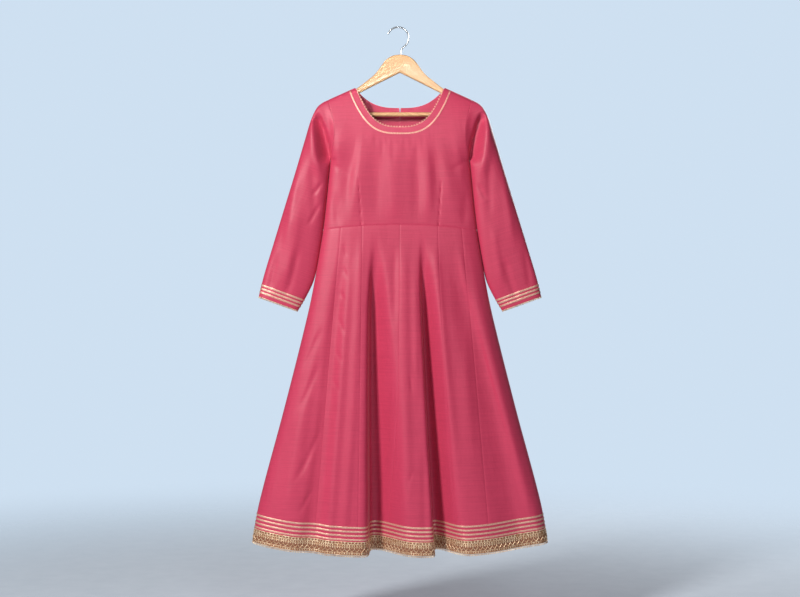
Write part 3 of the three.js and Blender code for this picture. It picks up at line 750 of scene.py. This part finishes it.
# reads places on the last rows of a closed tube of cloth: s along its cut edge and up from it
def edgeSurface(grid):
    rows = grid[::-1]
    ups = np.arange(-8, 92, edgeStep["up"])
    height = arcDown(rows)
    columns = []
    for c in range(rows.shape[1]):
        here = np.stack([np.interp(ups, height[:, c], rows[:, c, i]) for i in range(3)], 1)
        below = ups < 0
        direction = (rows[0, c] - rows[1, c]) / height[1, c]
        here[below] = rows[0, c] - direction * ups[below, None]
        columns.append(here)
    columns = np.array(columns)
    loop = np.concatenate([columns, columns[:1]])
    middle = np.argmin(np.abs(ups - edgeStep["measuredAt"]))
    steps = np.linalg.norm(np.diff(loop[:, middle], axis=0), axis=1)
    length = np.concatenate([[0], np.cumsum(steps)])
    keep = np.concatenate([[True], steps > 1e-6])
    loop, length = loop[keep], length[keep]
    count = int(length[-1] / edgeStep["along"])
    even = np.linspace(0, length[-1], count + 1)[:-1]
    points = np.stack([
        np.stack([np.interp(even, length, loop[:, u, i]) for i in range(3)], 1) for u in range(len(ups))
    ])
    normals = gridNormals(points, True, points - points.mean(1, keepdims=True))
    total = length[-1]

    def at(s, up, lift=0.0):
        s, up, lift = (np.asarray(a, float) for a in np.broadcast_arrays(s, up, lift))
        column = (s / total) * count % count
        row = np.clip((up - ups[0]) / edgeStep["up"], 0, len(ups) - 1.001)
        c, r = column.astype(int), row.astype(int)
        fc, fr = (column - c)[..., None], (row - r)[..., None]
        after = (c + 1) % count

        def read(field):
            low = mix(field[r, c], field[r, after], fc)
            return mix(low, mix(field[r + 1, c], field[r + 1, after], fc), fr)

        n = read(normals)
        n = n / np.maximum(np.linalg.norm(n, axis=-1, keepdims=True), 1e-9)
        return read(points) + n * lift[..., None]

    return at, total


# collects the ribbons, cords, beads and loops of one trimming before they become a mesh
class Trimming:
    def __init__(self, at, length, closed=True):
        self.at, self.length, self.closed = at, length, closed
        self.points, self.faces, self.uvs, self.count = [], [], [], 0

    def add(self, points, uvs, faces):
        self.faces.extend([[self.count + i for i in face] for face in faces])
        self.points.append(points.reshape(-1, 3))
        self.uvs.append(uvs.reshape(-1, 2))
        self.count += len(self.points[-1])

    # rings holds stations by sides, in order round the cord
    def tube(self, rings, uvs, closed):
        stations, sides = rings.shape[:2]
        index = np.arange(stations * sides).reshape(stations, sides)
        nextSide = np.roll(index, -1, 1)
        first = index if closed else index[:-1]
        firstNext = nextSide if closed else nextSide[:-1]
        second = np.roll(index, -1, 0) if closed else index[1:]
        secondNext = np.roll(nextSide, -1, 0) if closed else nextSide[1:]
        faces = np.stack([first, firstNext, secondNext, second], -1).reshape(-1, 4).tolist()
        if not closed:
            faces.append(index[0][::-1].tolist())
            faces.append(index[-1].tolist())
        self.add(rings, uvs, faces)

    # profile holds offsets up the cloth and off it, in order round the ribbon
    def section(self, s, up, profile):
        rings = np.stack([self.at(s, up + du, lift) for du, lift in profile], 1)
        uvs = np.stack([np.stack([s, up + du + 0 * s], -1) for du, _ in profile], 1)
        return rings, uvs

    def ribbon(self, middle, width, low, high, step):
        s = np.linspace(0, self.length, max(8, int(self.length / step)), endpoint=not self.closed)
        half, brow, shoulder = width / 2, width / 2 * 0.55, mix(low, high, 0.7)
        profile = [(-half, low), (-half, shoulder), (-brow, high), (brow, high), (half, shoulder),
                   (half, low)]
        rings, uvs = self.section(s, middle + 0 * s, profile)
        self.tube(rings, uvs, self.closed)

    # a round cord that follows s and up, lying at a lift from the cloth
    def cord(self, s, up, radius, lift, closed=True, sides=5):
        middle = self.at(s, up, lift)
        over = self.at(s, up, lift + radius) - middle
        over /= np.linalg.norm(over, axis=1, keepdims=True)
        if closed:
            along = np.roll(middle, -1, 0) - np.roll(middle, 1, 0)
        else:
            along = np.gradient(middle, axis=0)
        along /= np.maximum(np.linalg.norm(along, axis=1, keepdims=True), 1e-9)
        sideways = np.cross(along, over)
        sideways /= np.maximum(np.linalg.norm(sideways, axis=1, keepdims=True), 1e-9)
        angles = np.linspace(0, 2 * np.pi, sides, endpoint=False)
        turned = np.cos(angles)[None, :, None] * over[:, None]
        turned = turned + np.sin(angles)[None, :, None] * sideways[:, None]
        rings = middle[:, None] + radius * turned
        uvs = np.stack([np.repeat(s[:, None], sides, 1), up[:, None] + 2 * angles[None, :] / np.pi], -1)
        self.tube(rings, uvs, closed)

    # small faceted beads, evenly spaced
    def beads(self, count, up, radius, lift):
        offsets = np.array([(0, 0, 1), (1, 0, 0.1), (0.5, 0.87, 0.1), (-0.5, 0.87, 0.1), (-1, 0, 0.1),
                            (-0.5, -0.87, 0.1), (0.5, -0.87, 0.1)])
        faces = [(0, 1, 2), (0, 2, 3), (0, 3, 4), (0, 4, 5), (0, 5, 6), (0, 6, 1), (6, 5, 4, 3, 2, 1)]
        if self.closed:
            places = np.linspace(0, self.length, count, endpoint=False)
        else:
            places = np.linspace(radius, self.length - radius, count)
        for s in places:
            along, over = s + offsets[:, 0] * radius, up + offsets[:, 1] * radius
            points = self.at(along, over, lift + offsets[:, 2] * radius)
            self.add(points, np.stack([along, over], -1), faces)

    # a row of small thread loops below the edge
    def picots(self, pitch, drop, radius, lift, start=0.4):
        count = int(self.length / pitch)
        turn = np.linspace(0.05 * np.pi, 0.95 * np.pi, 7)
        half = self.length / count / 2 - radius
        for i in range(count):
            middle = (i + 0.5) * self.length / count
            s = middle + half * np.cos(turn) * 0.86
            up = -start - (drop - start - radius) * np.sin(turn) ** 0.8
            self.cord(s, up, radius, lift, closed=False, sides=4)

    # the first groundPoints points are the net, which the lace colours in painted shade, and the rest stand
    # on it
    def finish(self, name, material, groundPoints=0):
        piece = makeObject(name, np.concatenate(self.points), self.faces, np.concatenate(self.uvs),
                           material, 60)
        relief = piece.data.attributes.new("relief", "FLOAT", "POINT")
        relief.data.foreach_set("value", (np.arange(self.count) >= groundPoints).astype(float))
        mesh = bmesh.new()
        mesh.from_mesh(piece.data)
        bmesh.ops.recalc_face_normals(mesh, faces=mesh.faces)
        mesh.to_mesh(piece.data)
        mesh.free()
        return piece


def declareTrim(piece, node):
    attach(piece, "root")
    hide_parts(node)
    return piece


hemTrim = {"lines": [70, 60, 49.5, 39], "lineWidth": 4.5, "low": 0.1, "high": 0.9, "step": 2.4}
frontRing = [grid[:, :-1] for grid in hemGrids[:6]]
backRing = [grid[:, 1:][:, ::-1] for grid in hemGrids[:5:-1]]
ring = np.concatenate(frontRing + backRing, 1)
hemAt, hemLength = edgeSurface(ring)
for i, up in enumerate(hemTrim["lines"]):
    line = Trimming(hemAt, hemLength)
    line.ribbon(up, hemTrim["lineWidth"], hemTrim["low"], hemTrim["high"], hemTrim["step"])
    linePiece = line.finish(f"hemGoldLine{i + 1}", threadMaterial)
    declareTrim(linePiece, f"hem_line_{i + 1}")

# middle, width, underside and top of the net and of each braid, then middle and radius of each row
# of dots, all measured up from the foot of the lace
lace = {
    "net": (16.4, 34.4, 0.05, 0.35), "netStep": 4.0, "braidStep": 2.4,
    "braids": [(33.2, 1.8, 0.1, 1.1), (27.2, 1.8, 0.1, 1.1), (20.9, 1.2, 0.1, 1.0), (6.0, 1.2, 0.1, 1.0),
               (0.4, 1.2, 0.1, 1.3)],
    "dots": [(23.8, 1.9), (18.2, 1.6), (3.4, 1.7)], "dotPitch": 6.3, "dotLift": 0.3,
    "bars": {"pitch": 8.4, "width": 3.0, "foot": 27.6, "head": 32.8, "under": 0.2, "over": 0.9},
    "zigzag": {"pitch": 12.6, "middle": 11.6, "swing": 3.8, "radius": 0.95, "lift": 0.8},
    "zigzagDots": (9.0, 1.3), "picots": (5.4, 5.6, 0.85, 0.6),
}
band = Trimming(hemAt, hemLength)
band.ribbon(*lace["net"], lace["netStep"])
groundPoints = band.count
for braid in lace["braids"]:
    band.ribbon(*braid, lace["braidStep"])
bars = lace["bars"]
corners = [(bars["foot"], bars["under"]), (bars["head"], bars["under"]), (bars["head"], bars["over"]),
           (bars["foot"], bars["over"])]
barCount = int(hemLength / bars["pitch"])
for i in range(barCount):
    s = np.linspace(0, bars["width"], 2) + i * hemLength / barCount
    rings, uvs = band.section(s, 0 * s, corners)
    band.tube(rings, uvs, False)
for middle, radius in lace["dots"]:
    band.beads(int(hemLength / lace["dotPitch"]), middle, radius, lace["dotLift"])
zigzag = lace["zigzag"]
periods = int(hemLength / zigzag["pitch"])
turns = np.arange(periods * 4) / 4
up = zigzag["middle"] + zigzag["swing"] * np.interp(turns % 1, [0, 0.5, 1], [-1, 1, -1])
band.cord(turns * hemLength / periods, up, zigzag["radius"], zigzag["lift"], sides=4)
band.beads(periods, *lace["zigzagDots"], lace["dotLift"])
band.picots(*lace["picots"])
lacePiece = band.finish("hemLaceBand", laceMaterial, groundPoints=groundPoints)
declareTrim(lacePiece, "hem_lace")

for piece, node, grid in skirtJobs:
    declareCloth(piece, node)
print(f"hem trimmed, {hemLength:.0f} mm round")

cuff = {
    "lines": [30, 20.8, 11.5], "width": 5, "low": 0.1, "high": 0.9, "step": 1.6,
    "rim": (-0.5, 1.2, -0.9, 0.2),  # as a braid of the lace
    "picots": (5.3, 4.4, 0.65, -0.35, 0.6),  # pitch, drop, radius, lift and start
}
for name, (piece, grid, edgeRows) in sleeveJobs.items():
    cuffAt, cuffLength = edgeSurface(edgeRows)
    for i, up in enumerate(cuff["lines"]):
        line = Trimming(cuffAt, cuffLength)
        line.ribbon(up, cuff["width"], cuff["low"], cuff["high"], cuff["step"])
        linePiece = line.finish(f"cuff{name.title()}GoldLine{i + 1}", threadMaterial)
        declareTrim(linePiece, f"cuff_{name}_line_{i + 1}")
    edging = Trimming(cuffAt, cuffLength)
    edging.ribbon(*cuff["rim"], cuff["step"])
    edging.picots(*cuff["picots"])
    edgingPiece = edging.finish(f"cuff{name.title()}Picots", laceMaterial)
    declareTrim(edgingPiece, f"cuff_{name}_edging")
    declareCloth(piece, f"sleeve_{name}")
    print(f"{name} cuff trimmed, {cuffLength:.0f} mm round")

neckTrim = {
    "half": 131, "top": -162, "drop": 115, "power": 3.1, "reach": 0.9,
    "width": 3.8, "low": 0.1, "high": 1.0, "step": 2.2,
    "beadPitch": 7.4, "beadUp": 1.9, "beadRadius": 2.3, "beadLift": -0.6,
    "cordUp": 0.9, "cordRadius": 0.55, "cordLift": -0.4,
}


# reads places beside a line on the cloth: s along it, up across it and a lift from it
def lineSurface(points, normals):
    steps = np.linalg.norm(np.diff(points, axis=0), axis=1)
    length = np.concatenate([[0], np.cumsum(steps)])
    along = np.gradient(points, axis=0)
    sideways = np.cross(along, normals)
    sideways /= np.linalg.norm(sideways, axis=1, keepdims=True)
    sideways *= np.where(sideways[:, 2:] < 0, -1, 1)

    def at(s, up, lift=0.0):
        s, up, lift = (np.asarray(a, float) for a in np.broadcast_arrays(s, up, lift))

        def read(field):
            return np.stack([np.interp(s, length, field[:, i]) for i in range(3)], -1)

        return read(points) + read(sideways) * up[..., None] + read(normals) * lift[..., None]

    return at, length[-1]


neckColumns = np.abs(bodiceFront[0, :, 0]) < bodice["neckHalf"] - 1
edgeAt, edgeLength = lineSurface(bodiceFront[0, neckColumns], bodiceFrontNormals[0, neckColumns])
edging = Trimming(edgeAt, edgeLength, closed=False)
alongEdge = np.linspace(0, edgeLength, 150)
cordUp = neckTrim["cordUp"] + 0 * alongEdge
edging.cord(alongEdge, cordUp, neckTrim["cordRadius"], neckTrim["cordLift"], closed=False)
beadCount = int(edgeLength / neckTrim["beadPitch"])
edging.beads(beadCount, neckTrim["beadUp"], neckTrim["beadRadius"], neckTrim["beadLift"])
neckPieces = [declareTrim(edging.finish("neckBeadEdging", threadMaterial), "neck_edging")]

turns = (np.linspace(0, 1, 140) - 0.5) * np.pi * neckTrim["reach"]
lineX = neckTrim["half"] * np.sin(turns)
lineZ = neckTrim["top"] - neckTrim["drop"] * (1 - np.abs(lineX / neckTrim["half"]) ** neckTrim["power"])


def onBodice(x, z):
    share = x / halfWidth(z)
    point = bodicePoint(share, z, -1)
    point[..., 1] -= creaseHeight(x, z, frontBodiceCreases) * (1 - np.abs(share) ** 8)
    return point


linePoints = onBodice(lineX, lineZ)
lineNormals = np.cross(onBodice(lineX + 0.5, lineZ) - onBodice(lineX - 0.5, lineZ),
                       onBodice(lineX, lineZ + 0.5) - onBodice(lineX, lineZ - 0.5))
lineNormals /= np.linalg.norm(lineNormals, axis=1, keepdims=True)
lineNormals *= np.sign(-lineNormals[:, 1:2])
lineAt, lineLength = lineSurface(linePoints, lineNormals)
line = Trimming(lineAt, lineLength, closed=False)
line.ribbon(0, neckTrim["width"], neckTrim["low"], neckTrim["high"], neckTrim["step"])
neckPieces.append(declareTrim(line.finish("neckGoldLine", threadMaterial), "neck_line"))
declareCloth(bodiceFrontPiece, "bodice_front")
print(f"neck trimmed, {edgeLength:.0f} mm of beads and {lineLength:.0f} mm of line")


hanger = {
    "thickness": 11, "rounding": 3.6, "barRounding": 1.2, "crown": -69, "armBelowCloth": 4.4,
    "steps": 5, "endSteps": 3,
}


def deselectAll():
    if bpy.context.object and bpy.context.object.mode != "OBJECT":
        bpy.ops.object.mode_set(mode="OBJECT")
    bpy.ops.object.select_all(action="DESELECT")


def roundEdges(piece, width, segments):
    rounding = piece.modifiers.new("roundedEdges", "BEVEL")
    rounding.width = width / 1000
    rounding.segments = segments
    rounding.angle_limit = math.radians(50)
    bpy.ops.object.modifier_apply(modifier=rounding.name)


# leaves a modelled piece at the origin, with its place in its mesh
def finishPiece(piece, name, node, material, sharpAngle=35):
    piece.name = piece.data.name = name
    bpy.ops.object.transform_apply(location=True, rotation=True, scale=True)
    bpy.ops.object.shade_smooth_by_angle(angle=math.radians(sharpAngle))
    piece.data.materials.clear()
    piece.data.materials.append(material)
    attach(piece, "root")
    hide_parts(node)


# a smooth line through corners, steps places to each stretch
def throughPoints(corners, steps):
    corners = np.array(corners, float)
    padded = np.concatenate([[2 * corners[0] - corners[1]], corners, [2 * corners[-1] - corners[-2]]])
    out = []
    for i in range(1, len(padded) - 2):
        p0, p1, p2, p3 = padded[i - 1:i + 3]
        for t in np.linspace(0, 1, steps, endpoint=False):
            out.append(0.5 * (2 * p1 + (p2 - p0) * t + (2 * p0 - 5 * p1 + 4 * p2 - p3) * t * t
                              + (3 * p1 - p0 - 3 * p2 + p3) * t ** 3))
    return out + [corners[-1]]


def armTop(x):
    return float(shoulderLine(x)) - hanger["armBelowCloth"]


rightTop = throughPoints([(0, hanger["crown"]), (20, -72.5), (40, -86.5), (62.5, -117), (87, -138),
                          (116, armTop(116)), (155, armTop(155)), (192, armTop(192))], hanger["steps"])
rightEnd = throughPoints([(192, armTop(192)), (203, -204), (207, -215), (205, -226), (198, -232),
                          (190, -232), (182, -226.5), (177, -210)], hanger["endSteps"])
rightUnder = throughPoints([(177, -210), (142, -190), (107, -170), (70, -151), (35, -133.5),
                            (0, -116)], hanger["steps"])
rightHalf = rightTop + rightEnd[1:] + rightUnder[1:]
outline = rightHalf + [(-x, z) for x, z in rightHalf[-2:0:-1]]

deselectAll()
bpy.ops.mesh.primitive_circle_add(vertices=len(outline), radius=0.2, fill_type="NGON",
                                  rotation=(math.pi / 2, 0, 0))
hangerBody = bpy.context.object
bpy.ops.object.transform_apply(location=True, rotation=True, scale=True)
for vertex, (x, z) in zip(hangerBody.data.vertices, outline):
    vertex.co = (x * 0.001, -hanger["thickness"] / 2000, z * 0.001)
bpy.ops.object.mode_set(mode="EDIT")
bpy.ops.mesh.select_all(action="SELECT")
bpy.ops.mesh.extrude_region_move(TRANSFORM_OT_translate={"value": (0, hanger["thickness"] / 1000, 0)})
bpy.ops.mesh.select_all(action="SELECT")
bpy.ops.mesh.normals_make_consistent(inside=False)
bpy.ops.object.mode_set(mode="OBJECT")
roundEdges(hangerBody, hanger["rounding"], 4)
finishPiece(hangerBody, "hangerShoulders", "hanger_body", woodMaterial)

barLow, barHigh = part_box("hanger_bar")
barMiddle = (barLow + barHigh) / 2
deselectAll()
bpy.ops.mesh.primitive_cylinder_add(vertices=32, radius=(barHigh.z - barLow.z) / 2,
                                    depth=barHigh.x - barLow.x, location=barMiddle,
                                    rotation=(0, math.pi / 2, 0))
hangerBar = bpy.context.object
roundEdges(hangerBar, hanger["barRounding"], 3)
finishPiece(hangerBar, "hangerCrossBar", "hanger_bar", woodMaterial)

hook = {
    "wire": 2, "radius": 27.7, "middleX": -5, "middleZ": -25.2, "tip": 160, "neck": -62,
    "stem": [(4.2, -54.5), (3.2, -58.5), (3, -63), (3, hanger["crown"] + 0.4)],
}
deselectAll()
bpy.ops.curve.primitive_nurbs_path_add()
hookWire = bpy.context.object
hookWire.data.splines.clear()
turn = np.radians(np.linspace(hook["tip"], hook["neck"], 26))
bendX = hook["middleX"] + hook["radius"] * np.cos(turn)
bendZ = hook["middleZ"] + hook["radius"] * np.sin(turn)
hookWay = list(zip(bendX.tolist(), bendZ.tolist())) + hook["stem"]
spline = hookWire.data.splines.new("NURBS")
spline.points.add(len(hookWay) - 1)
for point, (x, z) in zip(spline.points, hookWay):
    point.co = (x * 0.001, 0, z * 0.001, 1)
spline.use_endpoint_u = True
spline.order_u = 4
spline.resolution_u = 5
hookWire.data.bevel_depth = hook["wire"] / 1000
hookWire.data.bevel_resolution = 4
hookWire.data.use_fill_caps = True
hookWire.data.dimensions = "3D"
bpy.ops.object.convert(target="MESH")
hookWire = bpy.context.object
finishPiece(hookWire, "hangerWireHook", "hanger_hook", wireMaterial, 50)
print("hanger made")


room = {
    "floorHeight": -1.56, "floorRadius": 3.6, "solidTo": 0.5, "floorDark": (0.60, 0.68, 0.78),
    "floorPale": (0.64, 0.72, 0.82), "wall": (0.62, 0.745, 0.88), "fill": (0.86, 0.92, 1.0),
    "fillLevel": 0.04,
}
world = bpy.data.worlds.new("paleRoom")
bpy.context.scene.world = world
world.use_nodes = True
tree = world.node_tree
wall = tree.nodes["Background"]
wall.inputs["Color"].default_value = (*room["wall"], 1)
roomLight = tree.nodes.new("ShaderNodeBackground")
roomLight.inputs["Color"].default_value = (*room["fill"], 1)
roomLight.inputs["Strength"].default_value = room["fillLevel"]
rays = tree.nodes.new("ShaderNodeLightPath")
chosen = tree.nodes.new("ShaderNodeMixShader")
tree.links.new(rays.outputs["Is Camera Ray"], chosen.inputs[0])
tree.links.new(roomLight.outputs[0], chosen.inputs[1])
tree.links.new(wall.outputs[0], chosen.inputs[2])
tree.links.new(chosen.outputs[0], tree.nodes["World Output"].inputs["Surface"])


def softLight(name, place, aim, size, power, colour, spread=180):
    data = bpy.data.lights.new(name, "AREA")
    data.shape = "DISK"
    data.size = size
    data.energy = power
    data.color = colour
    data.spread = np.radians(spread)
    lamp = bpy.data.objects.new(name, data)
    lamp.location = place
    direction = np.array(aim, float) - np.array(place, float)
    lamp.rotation_euler = Vector(direction.tolist()).to_track_quat("-Z", "Y").to_euler()
    bpy.context.scene.collection.objects.link(lamp)


softLight("keyLight", (-2.2, -3.0, 1.0), (0, 0, -0.65), 0.8, 156, (1.0, 0.97, 0.94))
softLight("frontLight", (0.9, -4.1, 0.6), (0, 0, -0.6), 1.2, 30, (0.98, 0.985, 1.0))
softLight("neckLight", (-0.2, -2.0, 0.1), (0, 0, -0.1), 0.3, 0.12, (1.0, 0.97, 0.95), 14)
softLight("backLight", (1.8, 3.0, 1.0), (0, 0, -0.6), 2.0, 90, (1.0, 0.98, 0.96))

deselectAll()
bpy.ops.mesh.primitive_circle_add(vertices=96, radius=room["floorRadius"], fill_type="NGON",
                                  location=(0, 0, room["floorHeight"]))
floor = bpy.context.object
floor.name = "paleFloor"
floorMaterial, tree, shader = startMaterial("paleFloor", 0.9, specular=0.2)
place = tree.nodes.new("ShaderNodeTexCoord")
mottle = stretchedNoise(tree, place.outputs["Object"], (14, 14, 14), 4, 0.6)
floorColour = ramp(tree, mottle, room["floorDark"], room["floorPale"], 0.3, 0.7)
tree.links.new(floorColour, shader.inputs["Base Color"])
apart = tree.nodes.new("ShaderNodeVectorMath")
apart.operation = "LENGTH"
tree.links.new(place.outputs["Object"], apart.inputs[0])
fade = tree.nodes.new("ShaderNodeMapRange")
fade.interpolation_type = "SMOOTHERSTEP"
fade.inputs["From Min"].default_value = room["solidTo"]
fade.inputs["From Max"].default_value = room["floorRadius"]
fade.inputs["To Min"].default_value = 1
fade.inputs["To Max"].default_value = 0
tree.links.new(apart.outputs["Value"], fade.inputs["Value"])
tree.links.new(fade.outputs["Result"], shader.inputs["Alpha"])
floor.data.materials.append(floorMaterial)

bpy.context.view_layer.update()
